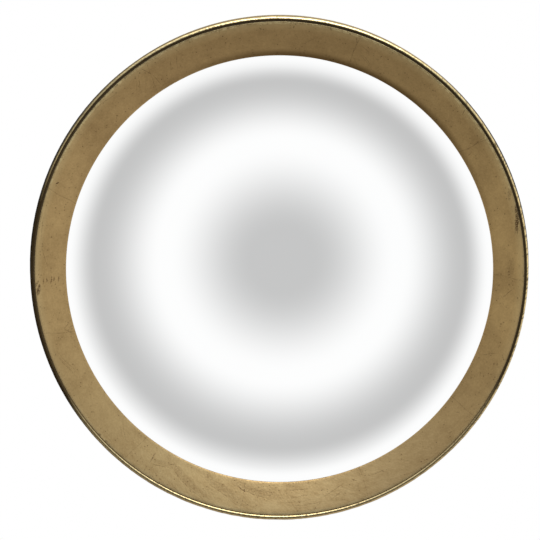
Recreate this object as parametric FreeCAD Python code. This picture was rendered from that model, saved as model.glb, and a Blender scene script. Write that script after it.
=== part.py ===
import FreeCAD, Part
import math
import os

# A convex butlers mirror that hangs on a wall. Millimetres, +Z up, the glass faces -Y.
# The origin is where the mirror's own axis meets the wall, so a depth of d from the wall is y = -d.

# ---- Front ring: what frames the glass ----
sight_diameter = 428.0      # the round of glass that shows
band_width = 30.5           # sloping gilded band, seen from the front
band_rise = 14.0            # how far the band's outer edge stands above its inner one
band_hollow = 0.35          # how far the band is dished below a straight slope
sight_lip = 2.0             # thickness of the ring at the sight edge
sight_nosing = 1.2          # rounding of the sight edge
bead_diameter = 5.5         # half-round bead round the outside
arris_width = 0.9           # small square edge between the band and the quirk
arris_drop = 0.6            # depth of the quirk between the arris and the bead
bead_step = 0.8             # the outer side starts this far inside the bead and flares back out to it

# ---- Glass ----
glass_lap = 8.0             # how far the glass runs behind the sight edge
glass_rise = 40.0           # height of the dome over its rim
glass_thickness = 4.0
tape_thickness = 1.0        # felt tape between the seat and the glass
tape_inset = 1.0            # tape stops this far from the sight edge and from the rim of the glass
edge_gap = 3.0              # room round the rim of the glass

# ---- Rear ring and what holds the glass ----
rear_ring_thickness = 18.0
rear_ring_inset = 0.5       # the rear ring is this much smaller all round
shoulder_width = 9.0        # step that the retaining ring is screwed to
cushion_thickness = 5.2     # foam ring, measured at the rim of the glass
cushion_width = 13.0
retaining_thickness = 6.0
retaining_overhang = 2.0    # the retaining ring reaches this far inside the cushion
ring_play = 0.5             # room round the retaining ring
edge_block_length = 24.0
edge_block_height = 4.0
edge_block_angle = 55.0     # of the blocks, above or below the horizontal
contact_gap = 0.1           # kept between curved pieces that only lean on each other

# ---- Back board ----
board_thickness = 9.0
board_inset = 1.5           # the board is this much smaller than the rear ring
board_chamfer = 1.0

# ---- Screws, all with flat or domed cross-recessed heads ----
screw_count = 8
board_screw = {"shank": 3.5, "head": 7.0, "length": 22.0}
ring_screw = {"shank": 4.0, "head": 8.0, "length": 32.0}
retaining_screw = {"shank": 3.0, "head": 6.0, "length": 13.0}
strap_screw = {"shank": 3.5, "head": 7.0, "length": 9.0}
strap_head_height = 1.8
screw_play = 0.05           # room round each screw in its hole
recess_width = 0.9          # one arm of the cross recess
recess_share = 0.62         # length of a recess arm, as a share of the head
recess_depth = 1.1
ring_screw_turn = 0.5       # the ring screws stand half a pitch away from the board screws

# ---- Hangers ----
hook_spacing = 280.0        # from one D-ring to the other
hanger_inset = 41.0         # the swing axis lies this far inside the edge of the board
strap_width = 13.0
strap_sheet = 0.8           # the strap is one strip of this sheet, folded double
strap_reach = 13.5          # from the swing axis down to the screw
wire_diameter = 2.6         # round wire of the D-ring
wire_play = 0.1             # running room of the wire in the folded loop
d_ring_opening = 18.0       # clear width inside the D-ring
d_ring_drop = 30.0          # from the swing axis to the far side of the ring
d_ring_corner = 3.0         # bend at each end of its straight side

# ---- Wall pads ----
pad_diameter = 16.0
pad_height = 6.0
pad_inset = 20.0            # centre of a pad, inside the edge of the board
pad_angle = 30.0            # of the pads, above or below the horizontal
pad_chamfer = 1.0

# ---- Worked out from the above: radii ----
sight_radius = sight_diameter / 2
band_outer = sight_radius + band_width
outer_radius = band_outer + bead_diameter
glass_radius = sight_radius + glass_lap
rebate_radius = glass_radius + edge_gap
shoulder_radius = rebate_radius + shoulder_width
rear_outer = outer_radius - rear_ring_inset
board_radius = rear_outer - board_inset
cushion_outer = glass_radius - tape_inset
cushion_inner = cushion_outer - cushion_width
wall_screw_circle = (shoulder_radius + rear_outer) / 2
retaining_screw_circle = (rebate_radius + shoulder_radius) / 2

# ---- Worked out from the above: depths from the wall ----
board_back = pad_height
board_front = board_back + board_thickness
ring_joint = board_front + rear_ring_thickness
rim_front = ring_joint
dome_radius = (glass_radius ** 2 + glass_rise ** 2) / (2 * glass_rise)
dome_centre = rim_front + glass_rise - dome_radius
shoulder_plane = rim_front - glass_thickness - cushion_thickness

Y_AXIS = FreeCAD.Vector(0, 1, 0)
ORIGIN = FreeCAD.Vector(0, 0, 0)


def dome_depth(radius, ball):
    """Depth from the wall of a ball about the dome's centre, at a distance from the mirror's axis."""
    return dome_centre + math.sqrt(ball ** 2 - radius ** 2)


def at(radius, depth):
    """A point of a turned outline."""
    return FreeCAD.Vector(radius, -depth, 0)


def line(start, end):
    return Part.LineSegment(at(*start), at(*end)).toShape()


def curve(start, middle, end):
    return Part.Arc(at(*start), at(*middle), at(*end)).toShape()


def dome_curve(start_radius, end_radius, ball):
    """The stretch of a turned outline that follows a ball about the dome's centre."""
    radii = (start_radius, (start_radius + end_radius) / 2, end_radius)
    return curve(*[(r, dome_depth(r, ball)) for r in radii])


def turned(edges, degrees=360.0):
    """The solid that a closed outline sweeps round the mirror's axis."""
    face = Part.Face(Part.Wire(Part.__sortEdges__(edges)))
    return face.revolve(ORIGIN, Y_AXIS, degrees)


def turned_box(inner, outer, low, high):
    """A plain flat ring between two radii and two depths."""
    corners = [(inner, low), (outer, low), (outer, high), (inner, high)]
    return turned([line(corners[i], corners[(i + 1) % 4]) for i in range(4)])


def rounded_corner(corner, first, second, radius):
    """Start, middle and end of the arc that rounds a corner between two unit directions away from it."""
    half = math.acos(first[0] * second[0] + first[1] * second[1]) / 2
    reach = radius / math.tan(half)
    inward = (first[0] + second[0], first[1] + second[1])
    length = math.hypot(*inward)
    middle_reach = radius / math.sin(half) - radius
    start = (corner[0] + first[0] * reach, corner[1] + first[1] * reach)
    end = (corner[0] + second[0] * reach, corner[1] + second[1] * reach)
    middle = (corner[0] + inward[0] / length * middle_reach, corner[1] + inward[1] / length * middle_reach)
    return start, middle, end


def round_places(count, radius, turn=0.0):
    """Evenly spaced points (x, z) on a circle about the mirror's axis."""
    angles = [2 * math.pi * (i + turn) / count for i in range(count)]
    return [(radius * math.sin(a), radius * math.cos(a)) for a in angles]


def screw(place, depth, size, domed=0.0):
    """A wood screw driven from the back, towards the glass. depth is where its head meets the surface."""
    x, z = place
    shank = size["shank"] / 2
    head = size["head"] / 2
    sink = head - shank
    into = FreeCAD.Vector(0, -1, 0)
    top = FreeCAD.Vector(x, -depth, z)
    if domed:
        body = Part.makeCylinder(head, domed, top, Y_AXIS)
        body = body.makeFillet(domed * 0.6, [max(body.Edges, key=lambda e: e.BoundBox.YMin)])
        start = 0.0
        face = depth - domed
    else:
        body = Part.makeCone(head, shank, sink, top, into)
        start = sink
        face = depth
    tip = shank * 2
    neck = FreeCAD.Vector(x, -depth - start, z)
    body = body.fuse(Part.makeCylinder(shank, size["length"] - start - tip, neck, into))
    point = FreeCAD.Vector(x, -depth - size["length"] + tip, z)
    body = body.fuse(Part.makeCone(shank, shank * 0.2, tip, point, into))
    arm = size["head"] * recess_share
    for wide, tall in ((arm, recess_width), (recess_width, arm)):
        corner = FreeCAD.Vector(x - wide / 2, -face - recess_depth, z - tall / 2)
        body = body.cut(Part.makeBox(wide, recess_depth * 2, tall, corner))
    return body.removeSplitter()


def screw_hole(place, depth, size, sunk=True):
    """The space that a screw takes up, with its play."""
    x, z = place
    shank = size["shank"] / 2 + screw_play
    into = FreeCAD.Vector(0, -1, 0)
    start = FreeCAD.Vector(x, -depth + 1, z)
    hole = Part.makeCylinder(shank, size["length"] + 1 + screw_play, start, into)
    if sunk:
        head = size["head"] / 2 + screw_play
        top = FreeCAD.Vector(x, -depth, z)
        hole = hole.fuse(Part.makeCone(head, shank, head - shank, top, into))
    return hole


def without(solid, spaces):
    """A solid with several spaces cut out of it."""
    return solid.cut(Part.makeCompound(spaces)).removeSplitter()


board_screw_places = round_places(screw_count, wall_screw_circle)
ring_screw_places = round_places(screw_count, wall_screw_circle, ring_screw_turn)
retaining_screw_places = round_places(screw_count, retaining_screw_circle)
retaining_back = shoulder_plane - retaining_thickness


def front_ring():
    """Turned ring: seat for the glass, rounded sight edge, sloping band, arris, quirk and bead."""
    seat_ball = dome_radius + tape_thickness
    seat_end = math.sqrt(seat_ball ** 2 - (ring_joint - dome_centre) ** 2)
    seat_start = dome_depth(sight_radius, seat_ball)
    corner = (sight_radius, seat_start + sight_lip)
    arris = (band_outer - arris_width, corner[1] + band_rise)
    run = (arris[0] - corner[0], arris[1] - corner[1])
    slope = (run[0] / math.hypot(*run), run[1] / math.hypot(*run))
    nose = rounded_corner(corner, (0.0, -1.0), slope, sight_nosing)
    hollow = ((nose[2][0] + arris[0]) / 2 + slope[1] * band_hollow,
              (nose[2][1] + arris[1]) / 2 - slope[0] * band_hollow)
    arris_end = (band_outer, arris[1])
    quirk = (band_outer, arris[1] - arris_drop)
    bead_top = (band_outer + bead_diameter / 2, quirk[1] + bead_diameter / 2)
    bead_end = (outer_radius, quirk[1])
    side_top = (outer_radius - bead_step, quirk[1])
    foot = (outer_radius, ring_joint)
    seat_edge = (seat_end, ring_joint)
    solid = turned([
        dome_curve(seat_end, sight_radius, seat_ball),
        line((sight_radius, seat_start), nose[0]),
        curve(*nose),
        curve(nose[2], hollow, arris),
        line(arris, arris_end),
        line(arris_end, quirk),
        curve(quirk, bead_top, bead_end),
        line(bead_end, side_top),
        line(side_top, foot),
        line(foot, seat_edge),
    ])
    return without(solid, [screw_hole(p, board_front, ring_screw) for p in ring_screw_places])


def rear_ring():
    """Second ring, behind the first: a rebate for the glass, a shoulder for the retaining ring."""
    corners = [
        (rebate_radius, ring_joint),
        (rear_outer, ring_joint),
        (rear_outer, board_front),
        (shoulder_radius, board_front),
        (shoulder_radius, shoulder_plane),
        (rebate_radius, shoulder_plane),
    ]
    solid = turned([line(corners[i], corners[(i + 1) % len(corners)]) for i in range(len(corners))])
    holes = [screw_hole(p, board_front, ring_screw) for p in ring_screw_places]
    holes += [screw_hole(p, board_back, board_screw) for p in board_screw_places]
    holes += [screw_hole(p, retaining_back, retaining_screw) for p in retaining_screw_places]
    return without(solid, holes)


def convex_glass():
    """Slumped glass dome of even thickness, with a ground rim."""
    inside = dome_radius - glass_thickness
    rim_back = (glass_radius, dome_depth(glass_radius, inside))
    return turned([
        dome_curve(0.0, glass_radius, dome_radius),
        line((glass_radius, rim_front), rim_back),
        dome_curve(glass_radius, 0.0, inside),
        line((0.0, dome_centre + inside), (0.0, dome_centre + dome_radius)),
    ])


def sight_tape():
    """Felt tape on the seat in the front ring."""
    inner = sight_radius + tape_inset
    outer = glass_radius - tape_inset
    balls = (dome_radius, dome_radius + tape_thickness)
    return turned([
        dome_curve(inner, outer, balls[0]),
        line((outer, dome_depth(outer, balls[0])), (outer, dome_depth(outer, balls[1]))),
        dome_curve(outer, inner, balls[1]),
        line((inner, dome_depth(inner, balls[1])), (inner, dome_depth(inner, balls[0]))),
    ])


def cushion_ring():
    """Foam ring: its front follows the back of the glass, its back is flat on the retaining ring."""
    inside = dome_radius - glass_thickness
    inner_front = (cushion_inner, dome_depth(cushion_inner, inside))
    outer_front = (cushion_outer, dome_depth(cushion_outer, inside))
    return turned([
        dome_curve(cushion_inner, cushion_outer, inside),
        line(outer_front, (cushion_outer, shoulder_plane)),
        line((cushion_outer, shoulder_plane), (cushion_inner, shoulder_plane)),
        line((cushion_inner, shoulder_plane), inner_front),
    ])


def retaining_ring():
    """Flat ring screwed to the shoulder, pressing on the cushion."""
    inner = cushion_inner - retaining_overhang
    solid = turned_box(inner, shoulder_radius - ring_play, retaining_back, shoulder_plane)
    return without(solid, [screw_hole(p, retaining_back, retaining_screw) for p in retaining_screw_places])


def edge_block(angle):
    """Setting block in the gap round the rim of the glass, centred at an angle above +X."""
    inner = glass_radius + contact_gap
    outer = rebate_radius - contact_gap
    high = rim_front
    low = high - edge_block_height
    corners = [(inner, low), (outer, low), (outer, high), (inner, high)]
    sweep = math.degrees(edge_block_length / outer)
    block = turned([line(corners[i], corners[(i + 1) % 4]) for i in range(4)], sweep)
    block.rotate(ORIGIN, Y_AXIS, -angle - sweep / 2)
    return block


def back_board():
    """Round board that closes the back."""
    rim = board_radius - board_chamfer
    solid = turned([
        line((0.0, board_back), (rim, board_back)),
        line((rim, board_back), (board_radius, board_back + board_chamfer)),
        line((board_radius, board_back + board_chamfer), (board_radius, board_front)),
        line((board_radius, board_front), (0.0, board_front)),
        line((0.0, board_front), (0.0, board_back)),
    ])
    holes = [screw_hole(p, board_back, board_screw) for p in board_screw_places]
    holes += [screw_hole(strap_screw_place(side), board_back - strap_stack, strap_screw, False)
              for side in (-1, 1)]
    return without(solid, holes)


# ---- Hangers: places shared by strap, screw and ring ----
wire_radius = wire_diameter / 2
loop_inner = wire_radius + wire_play
loop_outer = loop_inner + strap_sheet
strap_stack = strap_sheet * 2
swing_depth = board_back - loop_outer
swing_height = math.sqrt((board_radius - hanger_inset) ** 2 - (hook_spacing / 2) ** 2)


def strap_screw_place(side):
    return side * hook_spacing / 2, swing_height - strap_reach


def strap(side):
    """One strip folded double round the wire: a loop above, a round-ended plate with a hole below."""
    x, screw_z = strap_screw_place(side)
    left = x - strap_width / 2
    across = FreeCAD.Vector(1, 0, 0)
    loop = Part.makeCylinder(loop_outer, strap_width, FreeCAD.Vector(left, -swing_depth, swing_height), across)
    plate = Part.makeBox(strap_width, strap_stack, swing_height - screw_z,
                         FreeCAD.Vector(left, -board_back, screw_z))
    end = Part.makeCylinder(strap_width / 2, strap_stack, FreeCAD.Vector(x, -board_back, screw_z), Y_AXIS)
    neck = math.sqrt((2 * loop_outer - strap_stack) * loop_outer * 2)
    shoulder = [
        FreeCAD.Vector(left, -swing_depth, swing_height),
        FreeCAD.Vector(left, -swing_depth + loop_outer * 0.8, swing_height - loop_outer * 0.6),
        FreeCAD.Vector(left, -board_back + strap_stack, swing_height - neck),
        FreeCAD.Vector(left, -board_back, swing_height - neck),
        FreeCAD.Vector(left, -board_back, swing_height),
    ]
    fold = Part.Face(Part.makePolygon(shoulder + shoulder[:1])).extrude(across * strap_width)
    solid = loop.multiFuse([plate, end, fold])
    bore = Part.makeCylinder(loop_inner, strap_width, FreeCAD.Vector(left, -swing_depth, swing_height), across)
    hole = Part.makeCylinder(strap_screw["shank"] / 2 + screw_play, strap_stack * 3,
                             FreeCAD.Vector(x, -board_back - strap_stack, screw_z), Y_AXIS)
    return without(solid, [bore, hole])


def d_ring(side):
    """Round wire bent to a D: its straight side runs through the strap's loop, its bow hangs below."""
    x = side * hook_spacing / 2
    half = d_ring_opening / 2 + wire_radius
    flat = half - d_ring_corner
    drop = d_ring_drop - half - d_ring_corner
    y = -swing_depth
    across = FreeCAD.Vector(1, 0, 0)
    down = FreeCAD.Vector(0, 0, -1)
    pieces = [Part.makeCylinder(wire_radius, 2 * flat, FreeCAD.Vector(x - flat, y, swing_height), across)]
    for hand in (-1, 1):
        top = FreeCAD.Vector(x + hand * half, y, swing_height - d_ring_corner)
        pieces.append(Part.makeCylinder(wire_radius, drop, top, down))
        centre = FreeCAD.Vector(x + hand * flat, y, swing_height - d_ring_corner)
        bend = Part.makeTorus(d_ring_corner, wire_radius, centre, Y_AXIS, -180, 180, 360)
        size = d_ring_corner + wire_diameter
        near = FreeCAD.Vector(centre.x - (size if hand < 0 else 0), y - size, centre.z)
        pieces.append(bend.common(Part.makeBox(size, 2 * size, size, near)))
    centre = FreeCAD.Vector(x, y, swing_height - d_ring_corner - drop)
    bow = Part.makeTorus(half, wire_radius, centre, Y_AXIS, -180, 180, 360)
    size = half + wire_diameter
    below = Part.makeBox(2 * size, 2 * size, size, FreeCAD.Vector(x - size, y - size, centre.z - size))
    pieces.append(bow.common(below))
    return pieces[0].multiFuse(pieces[1:]).removeSplitter()


def wall_pad(side, level):
    """Round bumper stuck to the back of the board; its flat face touches the wall."""
    angle = math.radians(pad_angle)
    reach = board_radius - pad_inset
    x = side * reach * math.cos(angle)
    z = level * reach * math.sin(angle)
    pad = Part.makeCylinder(pad_diameter / 2, pad_height, FreeCAD.Vector(x, -board_back, z), Y_AXIS)
    return pad.makeChamfer(pad_chamfer, [max(pad.Edges, key=lambda e: e.BoundBox.YMin)])


SIDES = {"left": -1, "right": 1}
LEVELS = {"upper": 1, "lower": -1}

nodes = {
    "front_ring": front_ring(),
    "rear_ring": rear_ring(),
    "ring_screws": Part.makeCompound([screw(p, board_front, ring_screw) for p in ring_screw_places]),
    "sight_tape": sight_tape(),
    "convex_glass": convex_glass(),
    "cushion_ring": cushion_ring(),
    "retaining_ring": retaining_ring(),
    "retaining_screws": Part.makeCompound(
        [screw(p, retaining_back, retaining_screw) for p in retaining_screw_places]),
    "back_board": back_board(),
    "back_board_screws": Part.makeCompound([screw(p, board_back, board_screw) for p in board_screw_places]),
}
for level_name, level in LEVELS.items():
    for side_name, side in SIDES.items():
        block_angle = edge_block_angle if side > 0 else 180.0 - edge_block_angle
        nodes[f"edge_block_{level_name}_{side_name}"] = edge_block(level * block_angle)
        nodes[f"wall_pad_{level_name}_{side_name}"] = wall_pad(side, level)
for side_name, side in SIDES.items():
    nodes[f"strap_{side_name}"] = strap(side)
    nodes[f"d_ring_{side_name}"] = d_ring(side)
    strap_top = board_back - strap_stack
    nodes[f"strap_screw_{side_name}"] = screw(
        strap_screw_place(side), strap_top, strap_screw, strap_head_height)

os.makedirs("parts", exist_ok=True)
for name, shape in nodes.items():
    shape.exportStep(f"parts/{name}.step")
    box = shape.BoundBox
    print(f"{name}: {len(shape.Solids)} solids, valid {shape.isValid()}, {shape.Volume:.0f} mm3,"
          f" x {box.XMin:.1f} {box.XMax:.1f}, y {box.YMin:.1f} {box.YMax:.1f}, z {box.ZMin:.1f} {box.ZMax:.1f}")
print(f"swing axis: depth {swing_depth:.2f}, height {swing_height:.2f}; dome radius {dome_radius:.1f}")
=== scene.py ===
import math
import bmesh
import bpy
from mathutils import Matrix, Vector, noise


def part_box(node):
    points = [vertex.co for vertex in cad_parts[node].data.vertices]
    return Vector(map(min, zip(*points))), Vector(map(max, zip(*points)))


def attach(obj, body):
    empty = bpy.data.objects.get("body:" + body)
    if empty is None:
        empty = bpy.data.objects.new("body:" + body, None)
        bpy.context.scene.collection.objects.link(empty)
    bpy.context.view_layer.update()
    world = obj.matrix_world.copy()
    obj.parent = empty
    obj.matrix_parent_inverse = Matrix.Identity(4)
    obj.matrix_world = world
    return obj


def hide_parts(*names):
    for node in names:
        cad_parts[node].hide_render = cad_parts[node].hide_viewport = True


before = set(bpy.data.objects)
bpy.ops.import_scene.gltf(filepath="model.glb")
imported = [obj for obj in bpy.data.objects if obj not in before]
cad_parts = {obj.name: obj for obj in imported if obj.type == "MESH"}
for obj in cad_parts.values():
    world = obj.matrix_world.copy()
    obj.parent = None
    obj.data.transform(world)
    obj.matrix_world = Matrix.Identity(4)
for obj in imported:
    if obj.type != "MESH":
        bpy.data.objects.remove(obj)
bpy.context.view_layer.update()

# ==== Front ring ================================================================================
# The ring that frames the glass, turned from 25 mm fibreboard, coated with gesso and red-brown bole
# and laid with imitation gold leaf. The sloping band is left satin under toned shellac, the round
# bead at the edge is burnished. From the glass outwards: sight edge, band, arris, quirk, bead, side.

MM = 0.001
ring_low, ring_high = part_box("front_ring")
OUTER = ring_high.x / MM                # radius over the bead; depths are measured from the wall
BEAD_TOP = -ring_low.y / MM
RING_BACK = -ring_high.y / MM
SOLID_SIGHT = 214.0                     # radius of the solid's sight edge
SIGHT = SOLID_SIGHT - 1.75              # radius of the glass that shows; gesso has built the edge inwards
BEAD_RADIUS = 2.4
BAND_OUTER = OUTER - 2 * BEAD_RADIUS    # where the band ends and the bead starts
MIDDLE = (SIGHT + BAND_OUTER) / 2       # radius at the middle of the band
QUIRK_DEPTH = 0.6                       # of the groove between arris and bead
QUIRK = BEAD_TOP - BEAD_RADIUS
BAND_FRONT = QUIRK + QUIRK_DEPTH        # depth of the arris
LIP_BACK = RING_BACK + 4.0              # the sight edge, at the seat and at the face
LIP_FRONT = LIP_BACK + 2.0
SEAT_EDGE = 225.0                       # where the flat back ends and the seat for the glass starts
SEAT_MIDDLE = (219.5, 35.2)             # radius and depth of a point on the seat
BAND_SWELL = 0.3                        # the band swells by this much in its middle
SIDE_STEP = 0.8                         # the outer side starts this far inside the bead
BEAD_STEPS = 22
ROUND_STEPS = 900                       # facets round the big turned pieces

OVAL = 0.0145                           # share by which the frame is narrower than it is tall
OPENING = (0.25, 0.0, -1.75)            # mm by which the opening was cut off centre
OPENING_SHARPER = 0.8                   # mm by which it is narrower than it is tall
WANDER = 0.0007                         # share by which the outline wanders inwards
WAVE = 0.16                             # mm, unevenness of the hand-smoothed gesso
WAVE_LENGTH = 34.0                      # mm from one wave of it to the next
KNOCK = 0.42                            # mm, depth of the flats and dents on the bead
DENT_LENGTHS = (9.0, 4.0)               # mm across the broad and the small ones


def turned(name, outline, steps=ROUND_STEPS, centre=(0.0, 0.0), hand=None, on_axis=False, second=None):
    """A piece turned about an axis along Y from (radius, depth) points in mm, closed unless on_axis.
    Faces between outline points that second picks get the piece's second material."""
    work = bmesh.new()
    rows = []
    for i in range(steps):
        angle = 2 * math.pi * i / steps
        row = []
        for radius, depth in outline:
            if hand:
                radius, depth = hand(radius, depth, angle)
            row.append(work.verts.new((centre[0] * MM + radius * MM * math.sin(angle), -depth * MM,
                                       centre[1] * MM + radius * MM * math.cos(angle))))
        rows.append(row)
    for i in range(steps):
        near, far = rows[i], rows[(i + 1) % steps]
        for j in range(len(outline) - (1 if on_axis else 0)):
            k = (j + 1) % len(outline)
            face = work.faces.new((near[j], near[k], far[k], far[j]))
            face.smooth = True
            face.material_index = 1 if second and second(outline[j], outline[k]) else 0
    bmesh.ops.remove_doubles(work, verts=work.verts, dist=1e-7)
    bmesh.ops.recalc_face_normals(work, faces=work.faces)
    mesh = bpy.data.meshes.new(name)
    work.to_mesh(mesh)
    work.free()
    mesh.set_sharp_from_angle(angle=math.radians(40))
    piece = bpy.data.objects.new(name, mesh)
    bpy.context.scene.collection.objects.link(piece)
    return piece


def pulled(start, control, end, steps):
    """Points of a short curve that leaves start and reaches end, pulled towards control."""
    return [tuple((1 - t) ** 2 * a + 2 * t * (1 - t) * b + t * t * c for a, b, c in zip(start, control, end))
            for t in (i / steps for i in range(steps + 1))]


def hand_worked(radius, depth, angle):
    """The frame's narrowing, its low opening, and the unevenness of gesso work and handling."""
    across = max(0.0, min(1.0, (radius - SIGHT) / (OUTER - SIGHT)))
    slow = noise.noise(Vector((math.sin(angle) * 2.6, math.cos(angle) * 2.6, 3.1)))
    off = OPENING[0] * math.sin(angle) + OPENING[2] * math.cos(angle) - OPENING_SHARPER * math.sin(angle) ** 2
    if depth > LIP_BACK - 0.1:
        radius += (1 - across) * off
    radius -= radius * across * (OVAL * math.sin(angle) ** 2 + WANDER * (0.5 + 0.5 * slow))
    if depth > LIP_BACK + 0.5:
        spot = Vector((math.sin(angle) * radius, math.cos(angle) * radius, depth))
        depth -= WAVE * (0.5 + 0.5 * noise.noise(spot / WAVE_LENGTH)) * min(1.0, (depth - LIP_BACK) / 6)
        if radius > BAND_OUTER - 2.0 and depth > QUIRK - 0.2:
            dent = noise.noise(spot / DENT_LENGTHS[0]) * 0.55 + noise.noise(spot / DENT_LENGTHS[1]) * 0.45
            sunk = KNOCK * max(0.0, 0.4 + dent)
            depth -= sunk * 0.6
            radius -= sunk * 0.7 * max(0.0, radius - BAND_OUTER) / (OUTER - BAND_OUTER)
    return radius, depth


BAND_START = (SIGHT + 0.9, LIP_FRONT + 0.42)
BAND_END = (BAND_OUTER - 0.5, BAND_FRONT - 0.02)
band = []
for i in range(16):
    t = i / 15
    swell = BAND_SWELL * 4 * t * (1 - t)
    band.append((BAND_START[0] + (BAND_END[0] - BAND_START[0]) * t,
                 BAND_START[1] + (BAND_END[1] - BAND_START[1]) * t + swell))
outline = pulled((SIGHT, LIP_FRONT - 0.75), (SIGHT, LIP_FRONT), band[0], 4) + band[1:]
outline += pulled(band[-1], (BAND_OUTER - 0.15, BAND_FRONT + 0.1), (BAND_OUTER - 0.05, BAND_FRONT - 0.3), 4)[1:]
for i in range(BEAD_STEPS + 1):
    turn = math.pi * i / BEAD_STEPS
    outline.append((BAND_OUTER + BEAD_RADIUS * (1 - math.cos(turn)), QUIRK + BEAD_RADIUS * math.sin(turn)))
outline += [(OUTER - SIDE_STEP, QUIRK - 0.3), (OUTER - SIDE_STEP + 0.2, QUIRK - 6.0),
            (OUTER - 0.3, RING_BACK + 5.0), (OUTER - 0.05, RING_BACK + 0.7), (OUTER - 0.4, RING_BACK)]
outline += [(240.0, RING_BACK), (SEAT_EDGE + 0.3, RING_BACK), (SEAT_EDGE - 0.4, RING_BACK + 0.2), SEAT_MIDDLE,
            (SIGHT + 0.5, LIP_BACK), (SIGHT, LIP_BACK + 0.4)]
front_ring = turned("gilded_front_ring", outline, hand=hand_worked)


def linear(code):
    """A colour written as sRGB hex, turned to the linear values that a shader takes."""
    parts = [int(code[i:i + 2], 16) / 255 for i in (1, 3, 5)]
    return [c / 12.92 if c <= 0.04045 else ((c + 0.055) / 1.055) ** 2.4 for c in parts] + [1.0]


def add(tree, kind, inputs=None, take=0, **settings):
    """Adds a shader node with its settings, sets or links its inputs, and gives one of its outputs."""
    made = tree.nodes.new("ShaderNode" + kind)
    for name, value in settings.items():
        setattr(made, name, value)
    for socket, value in (inputs or {}).items():
        if isinstance(value, bpy.types.NodeSocket):
            tree.links.new(value, made.inputs[socket])
        else:
            made.inputs[socket].default_value = value
    return made.outputs[take]


def finish(name, metallic=0.0):
    """A new material: the material, its node tree, its shader, and places on the surface in millimetres."""
    material = bpy.data.materials.new(name)
    material.use_nodes = True
    tree = material.node_tree
    shader = tree.nodes["Principled BSDF"]
    shader.inputs["Metallic"].default_value = metallic
    places = add(tree, "TexCoord", take="Object")
    places = add(tree, "VectorMath", {0: places, "Scale": 1 / MM}, operation="SCALE")
    return material, tree, shader, places


# Brass leaf is 140 mm square, so a lap seam crosses the band every 34 degrees or so. Where a leaf laps
# the next, a thin line of bole shows. The leaf's own colour is a soft brown gold, darker where shellac
# lies thick; rubbed edges are paler, and bole shows in worn spots. Light and shade are painted on too:
# a highlight on the arris, shade by the sight edge, in the quirk and on the bead, and a dark reflection
# on the bead at the left; grime lies in the tool strokes on the bead.
LEAF = "#D0AD76"
LEAF_TONED = "#AC8B5B"
# pale gold for rubbed wear and burnish, and for the painted highlight on the arris
LEAF_PALE_WEAR_AND_HIGHLIGHT = "#FBE2A8"
# brown for the painted shade along the sight edge
LEAF_SIGHT_SHADE = "#7C6038"
BOLE = "#54351C"
# dark brown for grime in the tool strokes, and for painted shade and a painted dark reflection
GRIME_AND_PAINTED_SHADE = "#38260F"
DARK_REFLECTION_SIDE = (-0.99, 0.0, -0.14)      # towards the side where the whole bead is darkened with a painted dark reflection
SIGHT_SHADE_SIDE = (0.35, 0.0, 0.94)            # towards the part of the band where the painted shade along the sight edge is strongest
SWAY, SHAKE = 3.2, 1.1                  # mm, how far the slow and the quick unsteadiness of a line reach
# each lap seam: degrees clockwise from the top, how many mm its outer end lies back, change of tone
FIRST_SEAM = 127.0                      # the turn is measured from this seam round to itself
SEAMS = [
    (127.0, 0.0, -0.5), (158.6, -3.0, 0.6), (189.1, -2.5, -0.55), (218.6, -4.0, 0.3), (253.7, -9.0, -0.2),
    (288.7, -9.5, -0.1), (326.4, -9.0, 0.0), (19.0, -2.0, -0.3), (57.6, -4.0, 0.2), (92.4, -4.5, 0.6),
    (487.0, 0.0, 0.0),
]
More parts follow.
